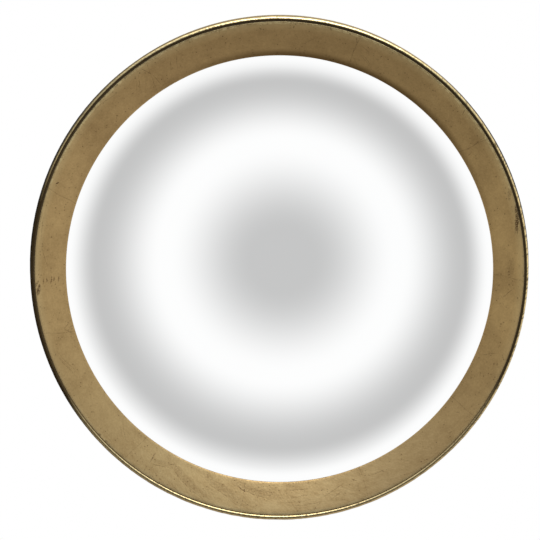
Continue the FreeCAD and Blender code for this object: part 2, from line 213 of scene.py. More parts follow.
# each scratch, wrinkle or smudge: degrees and radius of its two ends, half width in mm, strength
MARKS = [
    # wrinkles beside the seam at 19 degrees
    (18.3, 243, 19.3, 234, 0.4, 0.6), (19.5, 233, 18.8, 226, 0.4, 0.5), (18.6, 224, 20.6, 217, 0.4, 0.55),
    (19.6, 237, 23.5, 231, 0.3, 0.4), (19.8, 232, 24.8, 219, 0.3, 0.4), (20.2, 228, 25.6, 216, 0.35, 0.4),
    (21.0, 238, 22.8, 235, 0.3, 0.35), (10.4, 235, 4.6, 220, 0.35, 0.28), (16.4, 244, 16.7, 242, 0.6, 0.6),
    (11.7, 244, 12.1, 242, 0.6, 0.6),
    # broken leaf at the upper right
    (49.0, 243, 49.6, 236, 0.4, 0.6), (49.8, 233, 51.3, 228, 0.35, 0.45),
    (54.8, 243, 55.2, 239, 0.35, 0.5), (57.3, 241, 57.7, 226, 0.35, 0.5),
    (58.5, 223, 59.0, 216, 0.35, 0.4),
    # smudge where a hand has held the edge
    (70.8, 240, 73.4, 237, 2.0, 0.4), (74.6, 243.5, 77.4, 240, 1.6, 0.75),
    (76.2, 242, 81.4, 236, 1.9, 0.95), (78.5, 238, 81.8, 238.5, 1.2, 0.6),
    # beside the right-hand seam
    (90.0, 240, 92.2, 243, 0.5, 0.3), (88.0, 229, 91.8, 229, 4.5, 0.16), (94.1, 236, 98.0, 220, 0.35, 0.5),
    (111.3, 233, 113.6, 217, 0.4, 0.5), (128.6, 229, 129.1, 227, 0.6, 0.6),
    # swirls and feathered strokes along the bottom, each a thin line with a soft broad shade beside it
    (152.0, 226, 157.6, 224, 0.5, 0.4), (160.2, 226, 160.9, 224, 0.8, 0.9),
    (162.8, 223, 169.5, 233, 0.5, 0.45), (164.0, 231, 167.0, 236, 0.5, 0.35),
    (168.0, 236, 179.0, 236.5, 0.6, 0.35), (170.5, 232.5, 180.5, 233.5, 0.5, 0.35),
    (171.0, 222.5, 180.5, 222.0, 0.6, 0.45), (172.0, 228, 178.0, 228.5, 0.5, 0.3),
    (180.0, 234, 192.0, 221, 0.6, 0.5), (179.5, 229, 193.0, 218, 4.5, 0.3),
    (188.8, 242, 200.0, 221, 0.6, 0.45), (188.0, 238, 200.5, 217, 4.2, 0.3),
    (197.3, 244, 210.8, 221, 0.6, 0.5), (196.0, 241, 211.0, 218, 4.0, 0.28),
    (203.7, 244, 207.7, 236, 0.6, 0.35), (207.5, 225, 214.0, 234, 0.6, 0.5),
    (207.5, 222, 213.5, 229, 3.0, 0.25), (213.6, 232, 213.6, 221, 0.7, 0.7),
    (186.8, 240, 190.0, 232, 0.45, 0.5), (188.5, 226, 190.5, 222, 0.8, 0.9),
    (183.0, 227, 187.0, 221, 0.6, 0.45),
    # scratches at the lower left
    (221.6, 228.5, 225.0, 219.5, 0.35, 0.45), (223.0, 228, 225.4, 222, 0.3, 0.35),
    (240.8, 226.5, 250.8, 239, 0.35, 0.4), (241.8, 224.5, 249.6, 234.5, 0.3, 0.38),
    (243.5, 228.5, 250.0, 237, 0.3, 0.3), (252.0, 215, 254.3, 222, 0.35, 0.6),
    (254.3, 222, 255.2, 216, 0.35, 0.6),
    # worn spot and a column of pricks at the left
    (264.0, 239.5, 266.2, 237.0, 2.2, 0.9), (266.0, 241.5, 267.3, 238, 1.3, 0.8),
    (266.4, 233.2, 267.8, 233, 0.6, 0.9), (266.6, 230, 268.0, 230.2, 0.6, 0.8),
    (266.3, 226.2, 268.2, 226, 0.7, 1.0), (266.8, 223.6, 267.9, 223.8, 0.55, 0.8),
    (266.4, 219.2, 268.2, 219, 0.6, 0.8), (269.5, 228, 276.5, 237, 0.4, 0.35),
    (276.0, 237, 283.5, 238.5, 0.4, 0.35), (291.1, 236.5, 291.6, 235, 0.8, 0.9),
    # long scratch and crossed wrinkles at the upper left
    (309.0, 242, 318.6, 236, 0.3, 0.38), (321.7, 221, 324.3, 239, 0.35, 0.42),
    (321.0, 224, 323.3, 235, 0.3, 0.3), (322.9, 220, 325.2, 231, 0.3, 0.3),
    (325.2, 242, 326.9, 231, 0.4, 0.65), (326.9, 231, 327.5, 216, 0.4, 0.6),
    (330.4, 243, 331.4, 242.6, 0.35, 0.4), (330.3, 239, 331.8, 239.2, 0.35, 0.4),
    (330.4, 235.5, 331.6, 235.4, 0.35, 0.4), (331.5, 223, 333.0, 234, 0.35, 0.5),
    (333.0, 221, 334.8, 236, 0.35, 0.5), (334.6, 240, 335.6, 235, 0.3, 0.35),
    (355.5, 239.5, 355.9, 238, 0.6, 0.8),
]


def rolled_out(degrees, radius):
    """A place on the leafed surface rolled out flat: mm round the middle of the band, and radius."""
    return math.radians(degrees + (360 if degrees < FIRST_SEAM else 0)) * MIDDLE, radius


def gold_leaf():
    """Imitation gold leaf over bole: lap seams, marks of use, toning, a rubbed arris and grime, with
    painted highlight, shade and dark reflection at the sight edge, arris and bead.
    """
    material, tree, shader, places = finish("imitation_gold_leaf_toned", metallic=1.0)
    x = add(tree, "SeparateXYZ", {0: places}, take="X")
    y = add(tree, "SeparateXYZ", {0: places}, take="Y")
    z = add(tree, "SeparateXYZ", {0: places}, take="Z")
    radius = add(tree, "VectorMath", {0: add(tree, "CombineXYZ", {"X": x, "Z": z})}, take="Value",
                 operation="LENGTH")
    turn = add(tree, "Math", {0: add(tree, "Math", {0: x, 1: z}, operation="ARCTAN2")}, operation="DEGREES")
    turn = add(tree, "Math", {0: turn, 1: FIRST_SEAM + 360, 2: FIRST_SEAM}, operation="WRAP")
    around = add(tree, "Math", {0: turn, 1: math.radians(MIDDLE)}, operation="MULTIPLY")
    rolled = add(tree, "CombineXYZ", {"X": around, "Y": radius, "Z": y})
    # the radius that a place was turned to, before the narrowing and the shift of the opening
    wide = add(tree, "Math", {0: x, 1: x}, operation="MULTIPLY")
    wide = add(tree, "Math", {0: wide, 1: radius}, operation="DIVIDE")
    off_centre = add(tree, "VectorMath", {0: places, 1: OPENING}, take="Value", operation="DOT_PRODUCT")
    off_centre = add(tree, "Math", {0: wide, 1: -OPENING_SHARPER, 2: off_centre}, operation="MULTIPLY_ADD")
    off_centre = add(tree, "Math", {0: off_centre, 1: radius}, operation="DIVIDE")
    drawn_in = add(tree, "Math", {0: wide, 1: OVAL, 2: off_centre}, operation="MULTIPLY_ADD")
    drawn_in = add(tree, "Math", {0: drawn_in, 1: -1 / (OUTER - SIGHT), 2: 1.0}, operation="MULTIPLY_ADD")
    off_sight = add(tree, "Math", {0: radius, 1: SIGHT}, operation="SUBTRACT")
    off_sight = add(tree, "Math", {0: off_sight, 1: off_centre}, operation="SUBTRACT")
    off_sight = add(tree, "Math", {0: off_sight, 1: drawn_in}, operation="DIVIDE")
    radius = add(tree, "Math", {0: off_sight, 1: SIGHT}, operation="ADD")

    # hand unsteadiness of every line, at 20 mm and at 4 mm
    sway = add(tree, "TexNoise", {"Vector": places, "Scale": 1 / 20, "Detail": 0.0}, take="Color")
    shake = add(tree, "TexNoise", {"Vector": places, "Scale": 1 / 4, "Detail": 2.0}, take="Color")
    bent = add(tree, "VectorMath", {0: sway, 1: (SWAY, SWAY, 0.0), 2: rolled}, operation="MULTIPLY_ADD")
    bent = add(tree, "VectorMath", {0: shake, 1: (SHAKE, SHAKE, 0.0), 2: bent}, operation="MULTIPLY_ADD")
    centring = ((SWAY + SHAKE) / 2, (SWAY + SHAKE) / 2, 0.0)
    bent = add(tree, "VectorMath", {0: bent, 1: centring}, operation="SUBTRACT")
    bent_around = add(tree, "SeparateXYZ", {0: bent}, take="X")
    bent_radius = add(tree, "SeparateXYZ", {0: bent}, take="Y")

    tone, seam = 0.0, 0.0
    for degrees, lean, step in SEAMS:
        lean_share = lean / (BAND_OUTER - SIGHT)
        foot = -MIDDLE * lean_share - rolled_out(degrees, 0)[0]
        line = add(tree, "Math", {0: bent_radius, 1: lean_share, 2: foot}, operation="MULTIPLY_ADD")
        past = add(tree, "Math", {0: bent_around, 1: line}, operation="ADD")
        tone = add(tree, "Math", {0: add(tree, "Math", {0: past, 1: 0.0}, operation="GREATER_THAN"),
                                  1: step, 2: tone}, operation="MULTIPLY_ADD")
        past = add(tree, "Math", {0: past}, operation="ABSOLUTE")
        seam = add(tree, "Math", {0: add(tree, "MapRange", {"Value": past, "From Min": 0.6, "From Max": 0.15}),
                                  1: seam}, operation="MAXIMUM")
    marks = 0.0
    for from_degrees, from_radius, to_degrees, to_radius, half_width, strength in MARKS:
        start, end = Vector(rolled_out(from_degrees, from_radius)), Vector(rolled_out(to_degrees, to_radius))
        along, middle = (end - start).normalized(), (start + end) / 2
        half_length = (end - start).length / 2 + half_width
        long_way = add(tree, "VectorMath", {0: bent, 1: (along / half_length).to_3d()}, take="Value",
                       operation="DOT_PRODUCT")
        long_way = add(tree, "Math", {0: long_way, 1: middle.dot(along) / half_length}, operation="SUBTRACT")
        across = Vector((-along.y, along.x))
        wide_way = add(tree, "VectorMath", {0: bent, 1: (across / half_width).to_3d()}, take="Value",
                       operation="DOT_PRODUCT")
        wide_way = add(tree, "Math", {0: wide_way, 1: middle.dot(across) / half_width}, operation="SUBTRACT")
        off = add(tree, "Math", {0: wide_way, 1: wide_way}, operation="MULTIPLY")
        off = add(tree, "Math", {0: long_way, 1: long_way, 2: off}, operation="MULTIPLY_ADD")
        mark = add(tree, "MapRange", {"Value": off, "From Min": 1.0, "From Max": 0.25, "To Max": strength})
        marks = add(tree, "Math", {0: mark, 1: marks}, operation="MAXIMUM")
    crumbs = add(tree, "TexNoise", {"Vector": places, "Scale": 1 / 1.6, "Detail": 3.0, "Roughness": 0.7})
    broken = add(tree, "MapRange", {"Value": crumbs, "From Min": 0.42, "From Max": 0.56, "To Min": 0.2})
    flaws = add(tree, "Math", {0: seam, 1: 0.32, 2: marks}, operation="MULTIPLY_ADD")
    flaws = add(tree, "Math", {0: flaws, 1: broken}, operation="MULTIPLY")

    # tone: clouds of shellac 40 mm and 9 mm across, grain of the bole, and streaks left by the mop
    cloud = add(tree, "TexNoise", {"Vector": places, "Scale": 1 / 40, "Detail": 2.0})
    mottle = add(tree, "TexNoise", {"Vector": places, "Scale": 1 / 9, "Detail": 3.0, "Roughness": 0.6})
    grain = add(tree, "TexNoise", {"Vector": places, "Scale": 1 / 1.8, "Detail": 2.0, "Roughness": 0.6})
    mopped = add(tree, "Mapping", {"Vector": bent, "Rotation": (0.0, 0.0, -0.06), "Scale": (30.0, 1.7, 3.0)},
                 vector_type="TEXTURE")
    mopped = add(tree, "TexNoise", {"Vector": mopped, "Scale": 1.0, "Detail": 3.0, "Roughness": 0.6})
    swept = add(tree, "Mapping", {"Vector": bent, "Rotation": (0.0, 0.0, -0.42), "Scale": (24.0, 5.0, 3.0)},
                vector_type="TEXTURE")
    swept = add(tree, "TexNoise", {"Vector": swept, "Scale": 1.0, "Detail": 4.0, "Roughness": 0.7})
    slant = add(tree, "Mapping", {"Vector": bent, "Rotation": (0.0, 0.0, -0.75), "Scale": (6.0, 1.3, 3.0)},
                vector_type="TEXTURE")
    slant = add(tree, "TexNoise", {"Vector": slant, "Scale": 1.0, "Detail": 2.0, "Roughness": 0.6})
    where = add(tree, "MapRange", {"Value": cloud, "From Min": 0.45, "From Max": 0.62,
                                   "To Min": 0.25, "To Max": 1.0})
    low = add(tree, "MapRange", {"Value": z, "From Min": -120.0, "From Max": -215.0,
                                 "To Min": 0.15, "To Max": 1.5})
    toned = add(tree, "Math", {0: tone, 1: 0.16, 2: 0.45}, operation="MULTIPLY_ADD")
    for layer, weight, share in ((cloud, 1.1, None), (mottle, 0.7, None), (grain, 0.8, None),
                                 (mopped, 0.45, where), (swept, 1.0, low), (slant, 0.8, low)):
        part = add(tree, "Math", {0: layer, 1: 0.5}, operation="SUBTRACT")
        if share is not None:
            part = add(tree, "Math", {0: part, 1: share}, operation="MULTIPLY")
        toned = add(tree, "Math", {0: part, 1: weight, 2: toned}, operation="MULTIPLY_ADD")
    colour = add(tree, "MixRGB", {"Fac": toned, "Color1": linear(LEAF), "Color2": linear(LEAF_TONED)},
                 use_clamp=True)

    # painted shade: the band is darkened along the sight edge, most of all at the top
    sight_edge_shade = add(tree, "MapRange", {"Value": off_sight, "From Min": 8.0, "From Max": 0.5},
                   interpolation_type="SMOOTHSTEP")
    towards_top = add(tree, "VectorMath", {0: places, 1: SIGHT_SHADE_SIDE}, take="Value", operation="DOT_PRODUCT")
    towards_top = add(tree, "MapRange", {"Value": towards_top, "From Min": 120.0, "From Max": 205.0,
                                         "To Min": 0.1})
    sight_edge_shade = add(tree, "Math", {0: sight_edge_shade, 1: towards_top}, operation="MULTIPLY")
    colour = add(tree, "MixRGB", {"Fac": sight_edge_shade, "Color1": colour, "Color2": linear(LEAF_SIGHT_SHADE)})

    # the arris is rubbed pale, with a painted highlight stronger at the top and painted light towards it
    # in the upper half; the bead is worn to the bole in places; painted shade darkens the quirk and the
    # bead, a painted dark reflection darkens the bead at the left, and grime lies in the tool strokes
    rub = add(tree, "TexNoise", {"Vector": places, "Scale": 1 / 5, "Detail": 4.0, "Roughness": 0.7})
    from_arris = add(tree, "Math", {0: radius, 1: BAND_OUTER - 1.1}, operation="SUBTRACT")
    arris = add(tree, "MapRange", {"Value": add(tree, "Math", {0: from_arris}, operation="ABSOLUTE"),
                                   "From Min": 2.3, "From Max": 0.6})
    patchy = add(tree, "MapRange", {"Value": rub, "From Min": 0.35, "From Max": 0.58})
    arris = add(tree, "Math", {0: arris, 1: patchy}, operation="MULTIPLY")
    # painted highlight: the rubbed arris is made paler at the top than lower down
    upper = add(tree, "MapRange", {"Value": z, "From Min": 30.0, "From Max": 110.0, "To Min": 0.2})
    arris = add(tree, "Math", {0: arris, 1: upper}, operation="MULTIPLY")
    # painted light: the band lightens towards the arris in its upper half
    upper_painted_light = add(tree, "MapRange", {"Value": radius, "From Min": BAND_OUTER - 9.0,
                                     "From Max": BAND_OUTER - 1.5, "To Max": 0.3})
    upper = add(tree, "MapRange", {"Value": z, "From Min": -150.0, "From Max": 0.0})
    upper_painted_light = add(tree, "Math", {0: upper_painted_light, 1: upper}, operation="MULTIPLY")
    arris = add(tree, "Math", {0: arris, 1: upper_painted_light}, operation="MAXIMUM")
    colour = add(tree, "MixRGB", {"Fac": arris, "Color1": colour, "Color2": linear(LEAF_PALE_WEAR_AND_HIGHLIGHT)})
    specks = add(tree, "TexVoronoi", {"Vector": bent, "Scale": 1 / 3.2})
    specks = add(tree, "MapRange", {"Value": specks, "From Min": 0.25, "From Max": 0.1, "To Max": 0.68})
    clustered = add(tree, "MapRange", {"Value": mottle, "From Min": 0.47, "From Max": 0.62, "To Min": 0.06})
    specks = add(tree, "Math", {0: specks, 1: clustered}, operation="MULTIPLY")
    on_bead = add(tree, "MapRange", {"Value": radius, "From Min": BAND_OUTER - 0.1,
                                     "From Max": BAND_OUTER + 0.4})
    in_front = add(tree, "MapRange", {"Value": y, "From Min": 1.0 - QUIRK, "From Max": -QUIRK})
    on_bead = add(tree, "Math", {0: on_bead, 1: in_front}, operation="MULTIPLY")
    worn = add(tree, "MapRange", {"Value": rub, "From Min": 0.57, "From Max": 0.68, "To Max": 0.6})
    worn = add(tree, "Math", {0: worn, 1: on_bead}, operation="MULTIPLY")
    bare = add(tree, "Math", {0: flaws, 1: specks}, operation="ADD")
    bare = add(tree, "Math", {0: bare, 1: worn}, operation="ADD", use_clamp=True)
    burnished = add(tree, "Math", {0: on_bead, 1: 0.5}, operation="MULTIPLY")
    colour = add(tree, "MixRGB", {"Fac": burnished, "Color1": colour, "Color2": linear(LEAF_PALE_WEAR_AND_HIGHLIGHT)})
    colour = add(tree, "MixRGB", {"Fac": bare, "Color1": colour, "Color2": linear(BOLE)})
    # painted shade: the quirk between arris and bead is darkened
    grime_and_shade = add(tree, "Math", {0: radius, 1: BAND_OUTER + 0.1}, operation="SUBTRACT")
    grime_and_shade = add(tree, "Math", {0: grime_and_shade}, operation="ABSOLUTE")
    grime_and_shade = add(tree, "MapRange", {"Value": grime_and_shade, "From Min": 0.5, "From Max": 0.15, "To Max": 0.85})
    # painted shade: the bead's inner flank is darkened, but not along the bottom
    bead_painted_shade = add(tree, "MapRange", {"Value": radius, "From Min": BAND_OUTER + BEAD_RADIUS * 1.3,
                                   "From Max": BAND_OUTER + BEAD_RADIUS * 0.95, "To Max": 0.95})
    above_bottom = add(tree, "MapRange", {"Value": z, "From Min": -195.0, "From Max": -110.0})
    bead_painted_shade = add(tree, "Math", {0: bead_painted_shade, 1: above_bottom}, operation="MULTIPLY")
    # painted dark reflection: the whole bead is darkened on the left side
    left_dark_reflection = add(tree, "VectorMath", {0: places, 1: DARK_REFLECTION_SIDE}, take="Value", operation="DOT_PRODUCT")
    left_dark_reflection = add(tree, "MapRange", {"Value": left_dark_reflection, "From Min": OUTER * 0.79, "From Max": OUTER * 0.9,
                                     "To Max": 0.95})
    bead_painted_shade = add(tree, "Math", {0: bead_painted_shade, 1: left_dark_reflection}, operation="MAXIMUM")
    bead_painted_shade = add(tree, "Math", {0: bead_painted_shade, 1: on_bead}, operation="MULTIPLY")
    tooled = add(tree, "Mapping", {"Vector": rolled, "Rotation": (0.0, 0.0, -0.5), "Scale": (7.0, 1.1, 5.0)},
                 vector_type="TEXTURE")
    tooled = add(tree, "TexNoise", {"Vector": tooled, "Scale": 1.0, "Detail": 2.0})
    tooled = add(tree, "Math", {0: tooled, 1: on_bead}, operation="MULTIPLY")
    in_stroke = add(tree, "MapRange", {"Value": tooled, "From Min": 0.5, "From Max": 0.62, "To Max": 0.75})
    deeper = add(tree, "MapRange", {"Value": x, "From Min": 100.0, "From Max": 210.0, "To Min": 0.12})
    in_stroke = add(tree, "Math", {0: in_stroke, 1: deeper}, operation="MULTIPLY")
    grime_and_shade = add(tree, "Math", {0: grime_and_shade, 1: in_stroke}, operation="MAXIMUM")
    grime_and_shade = add(tree, "Math", {0: grime_and_shade, 1: bead_painted_shade}, operation="MAXIMUM")
    grime_and_shade = add(tree, "Math", {0: grime_and_shade, 1: in_front}, operation="MULTIPLY")
    # grime in the tool strokes, painted shade in the quirk and on the bead, and the painted dark reflection
    colour = add(tree, "MixRGB", {"Fac": grime_and_shade, "Color1": colour, "Color2": linear(GRIME_AND_PAINTED_SHADE)})
    tree.links.new(colour, shader.inputs["Base Color"])

    rough = add(tree, "MapRange", {"Value": toned, "To Min": 0.34, "To Max": 0.46})
    rough = add(tree, "Math", {0: on_bead, 1: -0.22, 2: rough}, operation="MULTIPLY_ADD")
    rough = add(tree, "Math", {0: bare, 1: 0.15, 2: rough}, operation="MULTIPLY_ADD")
    rough = add(tree, "Math", {0: grime_and_shade, 1: 0.4, 2: rough}, operation="MULTIPLY_ADD", use_clamp=True)
    tree.links.new(rough, shader.inputs["Roughness"])

    # relief: grain of the bole, edges of the leaf, and the tool's strokes
    relief = add(tree, "Math", {0: tooled, 1: 4.0, 2: grain}, operation="MULTIPLY_ADD")
    relief = add(tree, "Math", {0: flaws, 1: -0.8, 2: relief}, operation="MULTIPLY_ADD")
    relief = add(tree, "Math", {0: slant, 1: 0.4, 2: relief}, operation="MULTIPLY_ADD")
    bump = add(tree, "Bump", {"Height": relief, "Strength": 0.5, "Distance": 0.12 * MM})
    tree.links.new(bump, shader.inputs["Normal"])
    shader.inputs["Coat Weight"].default_value = 0.15         # thin shellac over the leaf
    shader.inputs["Coat Roughness"].default_value = 0.25
    shader.inputs["Coat IOR"].default_value = 1.52
    return material


GOLD_LEAF = gold_leaf()
front_ring.data.materials.append(GOLD_LEAF)
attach(front_ring, "mirror")
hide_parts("front_ring")
front_ring.visible_glossy = False       # the glass shows the studio's rings of light up to its edge

# ==== Sight tape ================================================================================
# Thin black needled felt, stuck to the seat behind the sight edge, so the glass can't rattle.


def dress(node, material):
    """Gives a CAD node that is shown as it is its finish."""
    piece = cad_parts[node]
    piece.data.materials.clear()
    piece.data.materials.append(material)


def needled_felt():
    """Wool felt: no gloss at all, loose fibres 0.4 mm long that catch the light."""
    material, tree, shader, places = finish("needled_black_felt")
    fibres = add(tree, "TexNoise", {"Vector": places, "Scale": 1 / 0.4, "Detail": 5.0, "Roughness": 0.8})
    colour = add(tree, "MixRGB", {"Fac": fibres, "Color1": linear("#0E0E0F"), "Color2": linear("#2E2D2C")})
    tree.links.new(colour, shader.inputs["Base Color"])
    shader.inputs["Roughness"].default_value = 0.95
    shader.inputs["Sheen Weight"].default_value = 0.4
    tree.links.new(add(tree, "Bump", {"Height": fibres, "Strength": 0.8, "Distance": 0.2 * MM}),
                   shader.inputs["Normal"])
    return material


dress("sight_tape", needled_felt())

# ==== Convex glass ==============================================================================
# A 4 mm disc of float glass slumped over a mould to a shallow dome, ground at the rim and silvered
# behind. It is seen as a perfectly smooth bulging mirror.

glass_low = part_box("convex_glass")[0]
GLASS_RIM = 222.0
RIM_FRONT = RING_BACK
GLASS_THICKNESS = 4.0
RISE = -glass_low.y / MM - RIM_FRONT
DOME = (GLASS_RIM ** 2 + RISE ** 2) / (2 * RISE)
DOME_CENTRE = RIM_FRONT + RISE - DOME


def dome_points(ball, start, end, steps):
    """Points on a ball about the dome's centre, between two radii."""
    radii = [start + (end - start) * i / steps for i in range(steps + 1)]
    return [(r, DOME_CENTRE + math.sqrt(ball ** 2 - r ** 2)) for r in radii]


def behind_the_face(a, b):
    """Whether a stretch of the glass's outline leaves its front face."""
    return min(math.hypot(r, d - DOME_CENTRE) for r, d in (a, b)) < DOME - 0.1


outline = dome_points(DOME, 0.0, GLASS_RIM - 0.4, 60)
outline += [(GLASS_RIM, RIM_FRONT - 0.3), (GLASS_RIM, RIM_FRONT - GLASS_THICKNESS + 0.2)]
outline += dome_points(DOME - GLASS_THICKNESS, GLASS_RIM - 0.4, 0.0, 30)
dome = turned("silvered_glass_dome", outline, steps=360, on_axis=True, second=behind_the_face)


def silvered_glass():
    """Silver behind clear glass: nearly all light comes back, with no blur at all."""
    material, tree, shader, places = finish("silvered_float_glass", metallic=1.0)
    shader.inputs["Roughness"].default_value = 0.0
    film = add(tree, "TexNoise", {"Vector": places, "Scale": 1 / 110, "Detail": 2.0})
    colour = add(tree, "MixRGB", {"Fac": film, "Color1": linear("#FEFEFE"), "Color2": linear("#FCFDFD")})
    tree.links.new(colour, shader.inputs["Base Color"])
    return material


def backing_lacquer():
    """Grey backing lacquer over the silver, sprayed, with a fine orange peel."""
    material, tree, shader, places = finish("grey_mirror_backing_lacquer")
    peel = add(tree, "TexNoise", {"Vector": places, "Scale": 1 / 1.5, "Detail": 2.0})
    colour = add(tree, "MixRGB", {"Fac": peel, "Color1": linear("#6B6C6A"), "Color2": linear("#7A7B78")})
    tree.links.new(colour, shader.inputs["Base Color"])
    shader.inputs["Roughness"].default_value = 0.5
    tree.links.new(add(tree, "Bump", {"Height": peel, "Strength": 0.3, "Distance": 0.05 * MM}),
                   shader.inputs["Normal"])
    return material


dome.data.materials.append(silvered_glass())
dome.data.materials.append(backing_lacquer())
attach(dome, "mirror")
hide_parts("convex_glass")

# ==== Setting blocks ============================================================================
# Four blocks of extruded rubber between the rim of the glass and its rebate.


def solid_rubber():
    """Black synthetic rubber: dull, with grey bloom in patches and fine moulding grain."""
    material, tree, shader, places = finish("black_rubber")
    bloom = add(tree, "TexNoise", {"Vector": places, "Scale": 1 / 6, "Detail": 4.0})
    grit = add(tree, "TexNoise", {"Vector": places, "Scale": 1 / 0.5, "Detail": 2.0})
    colour = add(tree, "MixRGB", {"Fac": bloom, "Color1": linear("#1A1A1B"), "Color2": linear("#343333")})
    tree.links.new(colour, shader.inputs["Base Color"])
    tree.links.new(add(tree, "MapRange", {"Value": bloom, "To Min": 0.5, "To Max": 0.8}),
                   shader.inputs["Roughness"])
    tree.links.new(add(tree, "Bump", {"Height": grit, "Strength": 0.4, "Distance": 0.1 * MM}),
                   shader.inputs["Normal"])
    return material


RUBBER = solid_rubber()
for level in ("upper", "lower"):
    for side in ("left", "right"):
        dress(f"edge_block_{level}_{side}", RUBBER)

# ==== Rear ring =================================================================================
# An 18 mm fibreboard ring glued and screwed behind the front one: its outer side is leafed with it,
# the rest is brushed with brown-black paint. The joint shows as a fine line round the side.

rear_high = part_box("rear_ring")[1]
REAR_OUTER = rear_high.x / MM
REAR_BACK = -rear_high.y / MM
REBATE = 225.0
SHOULDER = 234.0
SHOULDER_PLANE = 23.8
EASE = 0.35                             # rounding of its sanded edges
JOINT = 0.05                            # glue line between the two rings
outline = [
    (REBATE, RING_BACK - JOINT), (REAR_OUTER - EASE, RING_BACK - JOINT), (REAR_OUTER, RING_BACK - JOINT - EASE),
    (REAR_OUTER - 0.05, (RING_BACK + REAR_BACK) / 2), (REAR_OUTER, REAR_BACK + EASE),
    (REAR_OUTER - EASE, REAR_BACK),
    (SHOULDER + EASE, REAR_BACK), (SHOULDER, REAR_BACK + EASE), (SHOULDER, SHOULDER_PLANE),
    (REBATE + EASE, SHOULDER_PLANE), (REBATE, SHOULDER_PLANE + EASE),
]
rear_ring = turned("gilded_rear_ring", outline, hand=hand_worked,
                   second=lambda a, b: min(a[0], b[0]) < REAR_OUTER - EASE - 0.01)


def brushed_paint():
    """Brown-black casein paint, brushed thinly: matt and streaky, with the fawn board showing through."""
    material, tree, shader, places = finish("brown_black_casein_paint")
    strokes = add(tree, "Mapping", {"Vector": places, "Scale": (1 / 30, 1 / 2, 1 / 1.2)})
    strokes = add(tree, "TexNoise", {"Vector": strokes, "Scale": 1.0, "Detail": 4.0})
    thin = add(tree, "TexNoise", {"Vector": places, "Scale": 1 / 8, "Detail": 5.0, "Roughness": 0.7})
    colour = add(tree, "MixRGB", {"Fac": strokes, "Color1": linear("#1E1813"), "Color2": linear("#3A2D22")})
    thin = add(tree, "MapRange", {"Value": thin, "From Min": 0.62, "From Max": 0.72, "To Max": 0.5})
    colour = add(tree, "MixRGB", {"Fac": thin, "Color1": colour, "Color2": linear("#7B6246")})
    tree.links.new(colour, shader.inputs["Base Color"])
    shader.inputs["Roughness"].default_value = 0.75
    tree.links.new(add(tree, "Bump", {"Height": strokes, "Strength": 0.4, "Distance": 0.15 * MM}),
                   shader.inputs["Normal"])
    return material


rear_ring.data.materials.append(GOLD_LEAF)
rear_ring.data.materials.append(brushed_paint())
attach(rear_ring, "mirror")
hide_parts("rear_ring")

# ==== Cushion and retaining ring ================================================================
# A ring of closed-cell foam lies on the back of the glass, and a ring of bare 6 mm fibreboard is
# screwed over it. The foam is squeezed, so its edges bulge.

cushion_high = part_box("cushion_ring")[1]
CUSHION_OUTER = cushion_high.x / MM
CUSHION_INNER = 208.0
CUSHION_BACK = -cushion_high.y / MM
BULGE = 0.7
front = dome_points(DOME - GLASS_THICKNESS - 0.03, CUSHION_INNER + BULGE, CUSHION_OUTER - BULGE, 8)
outline = front + pulled(front[-1], (CUSHION_OUTER + BULGE, (front[-1][1] + CUSHION_BACK) / 2),
                         (CUSHION_OUTER - BULGE, CUSHION_BACK), 6)[1:]
outline += pulled((CUSHION_INNER + BULGE, CUSHION_BACK),
                  (CUSHION_INNER - BULGE, (front[0][1] + CUSHION_BACK) / 2), front[0], 6)[:-1]
cushion = turned("foam_cushion_ring", outline, steps=360)


def closed_cell_foam():
    """Charcoal polyethylene foam: dull, pitted with cells 0.8 mm across."""
    material, tree, shader, places = finish("closed_cell_foam")
    cells = add(tree, "TexVoronoi", {"Vector": places, "Scale": 1 / 0.8})
    colour = add(tree, "MixRGB", {"Fac": cells, "Color1": linear("#1C1C1D"), "Color2": linear("#3A3A3B")})
    tree.links.new(colour, shader.inputs["Base Color"])
    shader.inputs["Roughness"].default_value = 0.85
    tree.links.new(add(tree, "Bump", {"Height": cells, "Strength": 0.7, "Distance": 0.25 * MM}),
                   shader.inputs["Normal"])
    return material


cushion.data.materials.append(closed_cell_foam())
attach(cushion, "mirror")
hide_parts("cushion_ring")


def bare_fibreboard():
    """Medium-density fibreboard as sawn: fawn and matt, with darker and paler fibres about 1 mm long."""
    material, tree, shader, places = finish("bare_fibreboard")
    fibres = add(tree, "TexNoise", {"Vector": places, "Scale": 1 / 0.9, "Detail": 6.0, "Roughness": 0.75})
    patches = add(tree, "TexNoise", {"Vector": places, "Scale": 1 / 30, "Detail": 2.0})
    both = add(tree, "Math", {0: patches, 1: 0.3}, operation="MULTIPLY")
    both = add(tree, "Math", {0: fibres, 1: 0.7, 2: both}, operation="MULTIPLY_ADD")
    colour = add(tree, "MixRGB", {"Fac": both, "Color1": linear("#8B6C48"), "Color2": linear("#C7A57B")})
    tree.links.new(colour, shader.inputs["Base Color"])
    shader.inputs["Roughness"].default_value = 0.85
    tree.links.new(add(tree, "Bump", {"Height": fibres, "Strength": 0.4, "Distance": 0.1 * MM}),
                   shader.inputs["Normal"])
    return material


dress("retaining_ring", bare_fibreboard())

# ==== Back board ================================================================================
# A disc of 9 mm fibreboard, painted with a roller in matt black. The paint has a fine stipple, is
# thin on the cut edge and scuffed. It stays round, so it overhangs the narrowed rings at the sides.

board_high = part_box("back_board")[1]
BOARD_RADIUS = board_high.x / MM
BOARD_BACK = -board_high.y / MM


